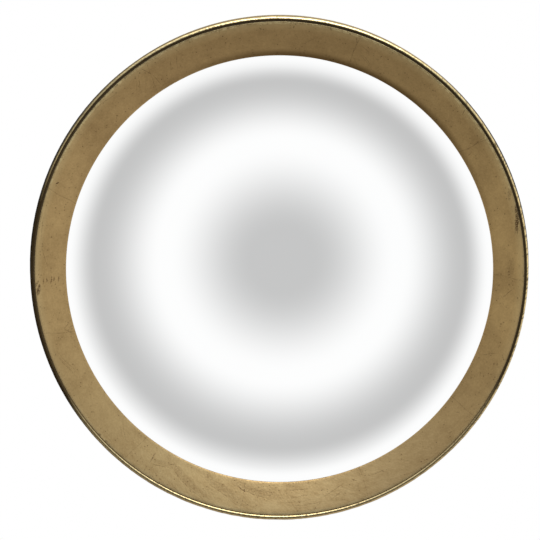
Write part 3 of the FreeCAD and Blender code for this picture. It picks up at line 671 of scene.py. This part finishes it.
def rolled_paint():
    """Matt black emulsion put on with a short roller: stippled, with dusty scuffs and a few bare nicks."""
    material, tree, shader, places = finish("rolled_matt_black_paint")
    stipple = add(tree, "TexNoise", {"Vector": places, "Scale": 1 / 1.6, "Detail": 3.0, "Roughness": 0.55})
    lap = add(tree, "Mapping", {"Vector": places, "Rotation": (0.0, 0.35, 0.0), "Scale": (90.0, 20.0, 14.0)},
              vector_type="TEXTURE")
    lap = add(tree, "TexNoise", {"Vector": lap, "Scale": 1.0, "Detail": 3.0})
    dust = add(tree, "TexNoise", {"Vector": places, "Scale": 1 / 45, "Detail": 6.0, "Roughness": 0.7})
    colour = add(tree, "MixRGB", {"Fac": lap, "Color1": linear("#1B1A19"), "Color2": linear("#302E2C")})
    dust = add(tree, "MapRange", {"Value": dust, "From Min": 0.45, "From Max": 0.85, "To Max": 0.3})
    colour = add(tree, "MixRGB", {"Fac": dust, "Color1": colour, "Color2": linear("#6E6860")})
    radius = add(tree, "VectorMath", {0: add(tree, "VectorMath", {0: places, 1: (1.0, 0.0, 1.0)},
                                             operation="MULTIPLY")}, take="Value", operation="LENGTH")
    rim = add(tree, "MapRange", {"Value": radius, "From Min": BOARD_RADIUS - 2.2,
                                 "From Max": BOARD_RADIUS - 0.3})
    nick = add(tree, "TexNoise", {"Vector": places, "Scale": 1 / 3.5, "Detail": 4.0, "Roughness": 0.7})
    nick = add(tree, "MapRange", {"Value": nick, "From Min": 0.58, "From Max": 0.66, "To Max": 0.8})
    nick = add(tree, "Math", {0: nick, 1: rim}, operation="MULTIPLY")
    scrape = add(tree, "Mapping", {"Vector": places, "Rotation": (0.0, -0.2, 0.0), "Scale": (60.0, 10.0, 0.9)},
                 vector_type="TEXTURE")
    scrape = add(tree, "TexNoise", {"Vector": scrape, "Scale": 1.0, "Detail": 2.0})
    scrape = add(tree, "MapRange", {"Value": scrape, "From Min": 0.73, "From Max": 0.8, "To Max": 0.45})
    bare = add(tree, "Math", {0: nick, 1: scrape}, operation="MAXIMUM")
    colour = add(tree, "MixRGB", {"Fac": bare, "Color1": colour, "Color2": linear("#9A7D58")})
    tree.links.new(colour, shader.inputs["Base Color"])
    tree.links.new(add(tree, "MapRange", {"Value": stipple, "To Min": 0.55, "To Max": 0.8}),
                   shader.inputs["Roughness"])
    tree.links.new(add(tree, "Bump", {"Height": stipple, "Strength": 0.55, "Distance": 0.25 * MM}),
                   shader.inputs["Normal"])
    return material


dress("back_board", rolled_paint())

# ==== Screws ====================================================================================
# Cross-recessed wood screws of drawn steel, zinc plated and passivated yellow. The plating is bright
# with an oily tint that drifts from yellow to grey.


def yellow_zinc():
    """Zinc plate passivated yellow: bright, with a tint that drifts to grey and fine drawing lines."""
    material, tree, shader, places = finish("yellow_passivated_zinc", metallic=1.0)
    tint = add(tree, "TexNoise", {"Vector": places, "Scale": 1 / 2.5, "Detail": 3.0})
    tint = add(tree, "MapRange", {"Value": tint, "From Min": 0.35, "From Max": 0.65})
    colour = add(tree, "MixRGB", {"Fac": tint, "Color1": linear("#B59B5A"), "Color2": linear("#C9BFA0")})
    tree.links.new(colour, shader.inputs["Base Color"])
    drawn = add(tree, "TexNoise", {"Vector": places, "Scale": 1 / 0.3, "Detail": 3.0})
    tree.links.new(add(tree, "MapRange", {"Value": drawn, "To Min": 0.2, "To Max": 0.42}),
                   shader.inputs["Roughness"])
    tree.links.new(add(tree, "Bump", {"Height": drawn, "Strength": 0.2, "Distance": 0.05 * MM}),
                   shader.inputs["Normal"])
    return material


YELLOW_ZINC = yellow_zinc()
for node in ("ring_screws", "retaining_screws", "back_board_screws", "strap_screw_left", "strap_screw_right"):
    dress(node, YELLOW_ZINC)

# ==== Hanger straps =============================================================================
# A strip of 0.8 mm steel, sheared, bent double round the wire of the D-ring, zinc plated, and held to
# the board by one screw through both layers. Its lower end is cut round.

SHEET = 0.8
STRAP_WIDTH = 13.0
SHEAR_EDGE = 0.12                       # rounding along the sheared edges
LOOP_MIDDLE = 1.8                       # from the swing axis to the middle of the sheet
STRAP_LENGTH = 20.0                     # from the swing axis to the round end
LOOP_TURN = 245.0                       # degrees that the strip turns round the wire
FOLD_DROP = 4.4                         # from the swing axis down to where the two layers meet
LAYER_GAP = 0.01                        # kept between the layers, and between strap and board


def bright_zinc():
    """Bright zinc plate on rolled strip: bluish, with fine lines along the strip and dull spots."""
    material, tree, shader, places = finish("bright_zinc_plated_strip", metallic=1.0)
    rolled = add(tree, "Mapping", {"Vector": places, "Scale": (1 / 0.25, 1 / 4, 1 / 9)})
    rolled = add(tree, "TexNoise", {"Vector": rolled, "Scale": 1.0, "Detail": 3.0})
    spots = add(tree, "TexNoise", {"Vector": places, "Scale": 1 / 1.6, "Detail": 4.0, "Roughness": 0.65})
    colour = add(tree, "MixRGB", {"Fac": spots, "Color1": linear("#C4C7CA"), "Color2": linear("#9FA2A4")})
    tree.links.new(colour, shader.inputs["Base Color"])
    tree.links.new(add(tree, "MapRange", {"Value": spots, "To Min": 0.2, "To Max": 0.45}),
                   shader.inputs["Roughness"])
    tree.links.new(add(tree, "Bump", {"Height": rolled, "Strength": 0.25, "Distance": 0.03 * MM}),
                   shader.inputs["Normal"])
    return material


BRIGHT_ZINC = bright_zinc()


def joined_up(name, loops, closed):
    """A swept piece from equal loops of points, capped at its ends unless it closes on itself."""
    work = bmesh.new()
    rows = [[work.verts.new(point) for point in loop] for loop in loops]
    for near, far in zip(rows, rows[1:] + (rows[:1] if closed else [])):
        for j in range(len(near)):
            work.faces.new((near[j], near[(j + 1) % len(near)], far[(j + 1) % len(far)], far[j]))
    if not closed:
        work.faces.new(rows[0])
        work.faces.new(rows[-1])
    bmesh.ops.recalc_face_normals(work, faces=work.faces)
    for face in work.faces:
        face.smooth = True
    mesh = bpy.data.meshes.new(name)
    work.to_mesh(mesh)
    work.free()
    mesh.set_sharp_from_angle(angle=math.radians(35))
    piece = bpy.data.objects.new(name, mesh)
    bpy.context.scene.collection.objects.link(piece)
    return piece


def folded_strap(name, across, axis_depth, axis_height):
    """The strip: up along the board, round the wire, and back down over itself."""
    near_board = BOARD_BACK - SHEET / 2 - LAYER_GAP
    far_layer = near_board - SHEET - LAYER_GAP
    foot = axis_height - STRAP_LENGTH
    line = [(near_board, foot + STRAP_LENGTH * (i / 30) ** 1.5) for i in range(31)]
    for i in range(1, 17):
        turn = math.radians(LOOP_TURN) * i / 16
        line.append((axis_depth + LOOP_MIDDLE * math.cos(turn), axis_height + LOOP_MIDDLE * math.sin(turn)))
    fold = axis_height - FOLD_DROP
    line += pulled(line[-1], (line[-1][0] + 0.9, line[-1][1] - 0.55), (far_layer, fold), 5)[1:]
    line += [(far_layer, foot + (fold - foot) * (1 - i / 26) ** 1.5) for i in range(1, 27)]
    screw_height = foot + STRAP_WIDTH / 2
    loops = []
    for i, (depth, height) in enumerate(line):
        before, after = line[max(i - 1, 0)], line[min(i + 1, len(line) - 1)]
        along = Vector((after[0] - before[0], after[1] - before[1])).normalized()
        half = STRAP_WIDTH / 2
        if height < screw_height:
            half = max(0.4, math.sqrt(max(half ** 2 - (screw_height - height) ** 2, 0.0)))
        loop = []
        for side, layer in ((-1, -1), (1, -1), (1, 1), (-1, 1)):
            corner = ((0, SHEAR_EDGE), (SHEAR_EDGE, 0))
            for inset in corner if side * layer > 0 else corner[::-1]:
                off = layer * (SHEET / 2 - inset[1])
                loop.append(((across + side * (half - inset[0])) * MM, -(depth - along.y * off) * MM,
                             (height + along.x * off) * MM))
        loops.append(loop)
    return joined_up(name, loops, closed=False)


# ==== D-rings ===================================================================================
# Round steel wire bent to a D on a former, butted and welded in the straight side, tumbled and nickel
# plated. The straight side turns in the strap's loop, and the bow drops on the wall hook.

WIRE = 2.6
RING_HALF_WIDTH = 10.3                  # to the middle of the wire
RING_CORNER = 3.0
RING_DROP = 30.0                        # from the swing axis to the bottom of the bow, over the wire's middle
WELD = 0.035                            # share by which the wire is thicker at the weld


def nickel_wire():
    """Nickel plate over tumbled wire: warm grey and bright, with fine scratches and dull worn patches."""
    material, tree, shader, places = finish("nickel_plated_wire", metallic=1.0)
    wear = add(tree, "TexNoise", {"Vector": places, "Scale": 1 / 3, "Detail": 5.0, "Roughness": 0.7})
    hair = add(tree, "TexNoise", {"Vector": places, "Scale": 1 / 0.35, "Detail": 3.0})
    colour = add(tree, "MixRGB", {"Fac": wear, "Color1": linear("#CFCBC2"), "Color2": linear("#A8A49B")})
    tree.links.new(colour, shader.inputs["Base Color"])
    tree.links.new(add(tree, "MapRange", {"Value": wear, "From Min": 0.3, "From Max": 0.7, "To Min": 0.14,
                                          "To Max": 0.36}), shader.inputs["Roughness"])
    tree.links.new(add(tree, "Bump", {"Height": hair, "Strength": 0.15, "Distance": 0.04 * MM}),
                   shader.inputs["Normal"])
    return material


NICKEL = nickel_wire()


def bent_ring(name, across, axis_depth, axis_height):
    """The wire swept round its D, as one closed tube."""
    flat = RING_HALF_WIDTH - RING_CORNER
    corner = axis_height - RING_CORNER
    bow = axis_height - (RING_DROP - RING_HALF_WIDTH)
    path = [(-flat + 2 * flat * i / 20, axis_height) for i in range(21)]
    quarter = [math.pi / 2 * i / 8 for i in range(1, 9)]
    path += [(flat + RING_CORNER * math.sin(turn), corner + RING_CORNER * math.cos(turn)) for turn in quarter]
    path += [(RING_HALF_WIDTH, corner + (bow - corner) * i / 6) for i in range(1, 6)]
    path += [(RING_HALF_WIDTH * math.cos(math.pi * i / 32), bow - RING_HALF_WIDTH * math.sin(math.pi * i / 32))
             for i in range(33)]
    path += [(-RING_HALF_WIDTH, bow + (corner - bow) * i / 6) for i in range(1, 6)]
    path += [(-flat - RING_CORNER * math.sin(turn), corner + RING_CORNER * math.cos(turn))
             for turn in quarter[::-1]]
    loops = []
    for i, (x, z) in enumerate(path):
        before, after = path[i - 1], path[(i + 1) % len(path)]
        along = Vector((after[0] - before[0], after[1] - before[1])).normalized()
        half = WIRE / 2
        if z > axis_height - 0.5:
            half *= 1 + WELD * math.exp(-(x / 0.7) ** 2)
        loops.append([((across + x + along.y * half * math.cos(turn)) * MM,
                       -(axis_depth + half * math.sin(turn)) * MM,
                       (z - along.x * half * math.cos(turn)) * MM)
                      for turn in (2 * math.pi * j / 20 for j in range(20))])
    return joined_up(name, loops, closed=True)


for side in ("left", "right"):
    low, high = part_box(f"strap_{side}")
    loop_outer = LOOP_MIDDLE + SHEET / 2
    place = (low.x + high.x) / 2 / MM, -high.y / MM + loop_outer, high.z / MM - loop_outer
    strap = folded_strap(f"folded_strap_{side}", *place)
    strap.data.materials.append(BRIGHT_ZINC)
    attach(strap, "mirror")
    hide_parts(f"strap_{side}")
    ring = bent_ring(f"wire_ring_{side}", *place)
    ring.data.materials.append(NICKEL)
    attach(ring, f"hanger_ring_{side}")
    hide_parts(f"d_ring_{side}")

# ==== Wall pads =================================================================================
# Round bumpers moulded in soft black rubber, with a raised rim round a shallow dish in the face that
# meets the wall. Each is stuck to the board.

DISH_DEPTH = 0.25

for level in ("upper", "lower"):
    for side in ("left", "right"):
        low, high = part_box(f"wall_pad_{level}_{side}")
        centre = (low.x + high.x) / 2 / MM, (low.z + high.z) / 2 / MM
        radius = (high.x - low.x) / 2 / MM
        height = -low.y / MM
        outline = [(0.0, DISH_DEPTH), (radius - 3.2, DISH_DEPTH), (radius - 2.6, 0.02), (radius - 1.5, 0.0)]
        outline += pulled((radius - 1.5, 0.0), (radius - 0.45, 0.05), (radius - 0.3, 1.3), 5)[1:]
        outline += [(radius - 0.05, height - 0.7), (radius - 0.15, height - 0.5), (radius - 0.5, height - 0.45),
                    (radius - 0.5, height), (0.0, height)]
        pad = turned(f"rubber_bumper_{level}_{side}", outline, steps=64, centre=centre, on_axis=True)
        pad.data.materials.append(RUBBER)
        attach(pad, "mirror")
        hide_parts(f"wall_pad_{level}_{side}")

# ==== Studio ====================================================================================
# A plain pale floor well below the hanging mirror, one large soft lamp above, and a pale studio all
# round that is darker in front. The camera stands 5.5 degrees above the mirror's axis, with a long lens.

ELEVATION = math.radians(5.5)
LENS = 400.0
SENSOR = 36.0
VIEW_WIDTH = 0.5348                     # metres across the picture, at the sight edge
AIM = Vector((-0.0092, -LIP_FRONT * MM, -0.0022))
toward_camera = Vector((0.0, -math.cos(ELEVATION), math.sin(ELEVATION)))

world = bpy.data.worlds.new("studio")
bpy.context.scene.world = world
world.use_nodes = True
tree = world.node_tree
tree.nodes.clear()
direction = add(tree, "TexCoord", take="Generated")

# what the smooth mirror meets: soft grey and white rings of light in front of it
halfway = add(tree, "VectorMath", {0: direction, 1: toward_camera}, operation="ADD")
halfway = add(tree, "VectorMath", {0: halfway}, operation="NORMALIZE")
on_glass = add(tree, "VectorMath", {0: halfway, 1: (DOME, 0.0, DOME)}, operation="MULTIPLY")
RING_OFFSET = (4.1, 0.0, 12.1)           # mm by which the innermost ring is off the middle of the glass
OFFSET_FADES = 210.0                     # mm from the middle, where that offset would be gone
share = add(tree, "VectorMath", {0: on_glass, 1: on_glass}, take="Value", operation="DOT_PRODUCT")
share = add(tree, "Math", {0: share, 1: share}, operation="MULTIPLY")
share = add(tree, "Math", {0: share, 1: -OFFSET_FADES ** -4, 2: 1.0}, operation="MULTIPLY_ADD", use_clamp=True)
shift = add(tree, "VectorMath", {0: RING_OFFSET, "Scale": share}, operation="SCALE")
ring_radius = add(tree, "VectorMath", {0: on_glass, 1: shift}, operation="SUBTRACT")
ring_radius = add(tree, "VectorMath", {0: ring_radius}, take="Value", operation="LENGTH")
# each ring of light: mm from the middle of the glass, sRGB level
RINGS = [(30.0, 0.776), (118.0, 1.0), (126.0, 1.0), (191.0, 0.772), (219.5, 1.0)]
REACH = 330.0
rings = add(tree, "ValToRGB", {"Fac": add(tree, "Math", {0: ring_radius, 1: REACH}, operation="DIVIDE")})
ramp = rings.node.color_ramp
ramp.interpolation = "EASE"
ramp.elements.remove(ramp.elements[1])
for i, (radius, level) in enumerate(RINGS):
    stop = ramp.elements.new(radius / REACH) if i else ramp.elements[0]
    stop.position = radius / REACH
    stop.color = [level] * 3 + [1.0]
rings = add(tree, "Gamma", {"Color": rings, "Gamma": 2.2})

# what satin metal and matt paint meet: light from above, a dimmer floor and sides, a dark front
BASE_LEVEL = 0.05
# where each light comes from, how narrow it is, and its linear colour
SOFT_LIGHTS = [
    ((0.1, -0.3, 0.95), 3.0, (0.47, 0.68, 0.92)),
    ((0.0, 0.17, 0.98), 5.0, (2.2, 2.2, 2)),
    ((-0.3, -0.7, 0.65), 6.0, (0.16, 0.14, 0.17)),
    ((0.85, -0.5, 0.05), 2.5, (0.47, 0.49, 0.49)),
    ((0.9, 0.35, 0.2), 2.5, (0.8, 0.8, 0.75)),
    ((-0.72, -0.68, 0.05), 7.0, (0.5, 0.51, 0.46)),
    ((-0.55, -0.55, -0.63), 4.0, (0.24, 0.24, 0.23)),
    ((0.5, -0.6, -0.6), 4.0, (0.18, 0.18, 0.18)),
    ((0.25, 0.25, -0.93), 3.0, (0.5, 0.48, 0.45)),
]
level = (BASE_LEVEL,) * 3
for towards, tightness, strength in SOFT_LIGHTS:
    lobe = add(tree, "VectorMath", {0: direction, 1: Vector(towards).normalized()}, take="Value",
               operation="DOT_PRODUCT")
    lobe = add(tree, "Math", {0: add(tree, "Math", {0: lobe, 1: 0.0}, operation="MAXIMUM"), 1: tightness},
               operation="POWER")
    level = add(tree, "VectorMath", {0: lobe, 1: strength, 2: level}, operation="MULTIPLY_ADD")
ahead = add(tree, "VectorMath", {0: direction, 1: (0.0, -1.0, 0.0)}, take="Value", operation="DOT_PRODUCT")
DARK_FRONT = (0.74, 0.9, 0.4)           # cosines where the dark starts and is full, and what is left
dark = add(tree, "MapRange", {"Value": ahead, "From Min": DARK_FRONT[0], "From Max": DARK_FRONT[1],
                              "To Min": 1.0, "To Max": DARK_FRONT[2]}, interpolation_type="SMOOTHSTEP")
level = add(tree, "VectorMath", {0: level, "Scale": dark}, operation="SCALE")

mirrored = add(tree, "LightPath", take="Is Singular Ray")
seen = add(tree, "MixRGB", {"Fac": mirrored, "Color1": level, "Color2": rings})
seen = add(tree, "MixRGB", {"Fac": add(tree, "LightPath", take="Is Camera Ray"), "Color1": seen,
                            "Color2": (1.0, 1.0, 1.0, 1.0)})
output = tree.nodes.new("ShaderNodeOutputWorld")
tree.links.new(add(tree, "Background", {"Color": seen}), output.inputs["Surface"])

LAMP_SIZE = (1.6, 1.1)                  # metres
LAMP_POWER = 14.0
LAMP_PLACE = (0.3, -0.6, 1.7)           # metres
lamp_data = bpy.data.lights.new("overhead_softbox", "AREA")
lamp_data.shape = "RECTANGLE"
lamp_data.size, lamp_data.size_y = LAMP_SIZE
lamp_data.energy = LAMP_POWER
lamp = bpy.data.objects.new("overhead_softbox", lamp_data)
bpy.context.scene.collection.objects.link(lamp)
lamp.location = LAMP_PLACE
lamp.rotation_mode = "QUATERNION"
lamp.rotation_quaternion = (-lamp.location).to_track_quat("-Z", "Y")

FLOOR_LEVEL, FLOOR_REACH = -0.55, 1.7
work = bmesh.new()
bmesh.ops.create_circle(work, cap_ends=True, radius=FLOOR_REACH, segments=96)
floor_mesh = bpy.data.meshes.new("floor")
work.to_mesh(floor_mesh)
work.free()
floor = bpy.data.objects.new("floor", floor_mesh)
bpy.context.scene.collection.objects.link(floor)
floor.location = (0, 0, FLOOR_LEVEL)
floor.visible_glossy = False


def studio_floor():
    """Pale matt vinyl, which fades out into the white of the studio before its edge."""
    material, tree, shader, places = finish("pale_studio_floor")
    cloud = add(tree, "TexNoise", {"Vector": places, "Scale": 1 / 300, "Detail": 2.0})
    colour = add(tree, "MixRGB", {"Fac": cloud, "Color1": linear("#F2F2F0"), "Color2": linear("#F6F6F5")})
    tree.links.new(colour, shader.inputs["Base Color"])
    shader.inputs["Roughness"].default_value = 0.9
    away = add(tree, "VectorMath", {0: places}, take="Value", operation="LENGTH")
    tree.links.new(add(tree, "MapRange", {"Value": away, "From Min": FLOOR_REACH / MM * 0.95,
                                          "From Max": FLOOR_REACH / MM * 0.4}, interpolation_type="SMOOTHSTEP"),
                   shader.inputs["Alpha"])
    return material


floor.data.materials.append(studio_floor())

camera_data = bpy.data.cameras.new("camera")
camera_data.lens = LENS
camera_data.sensor_width = SENSOR
camera_data.clip_end = 100.0
camera = bpy.data.objects.new("camera", camera_data)
bpy.context.scene.collection.objects.link(camera)
camera.location = AIM + toward_camera * VIEW_WIDTH * LENS / SENSOR
camera.rotation_mode = "QUATERNION"
camera.rotation_quaternion = (-toward_camera).to_track_quat("-Z", "Y")
bpy.context.scene.camera = camera
bpy.context.scene.view_settings.view_transform = "Standard"
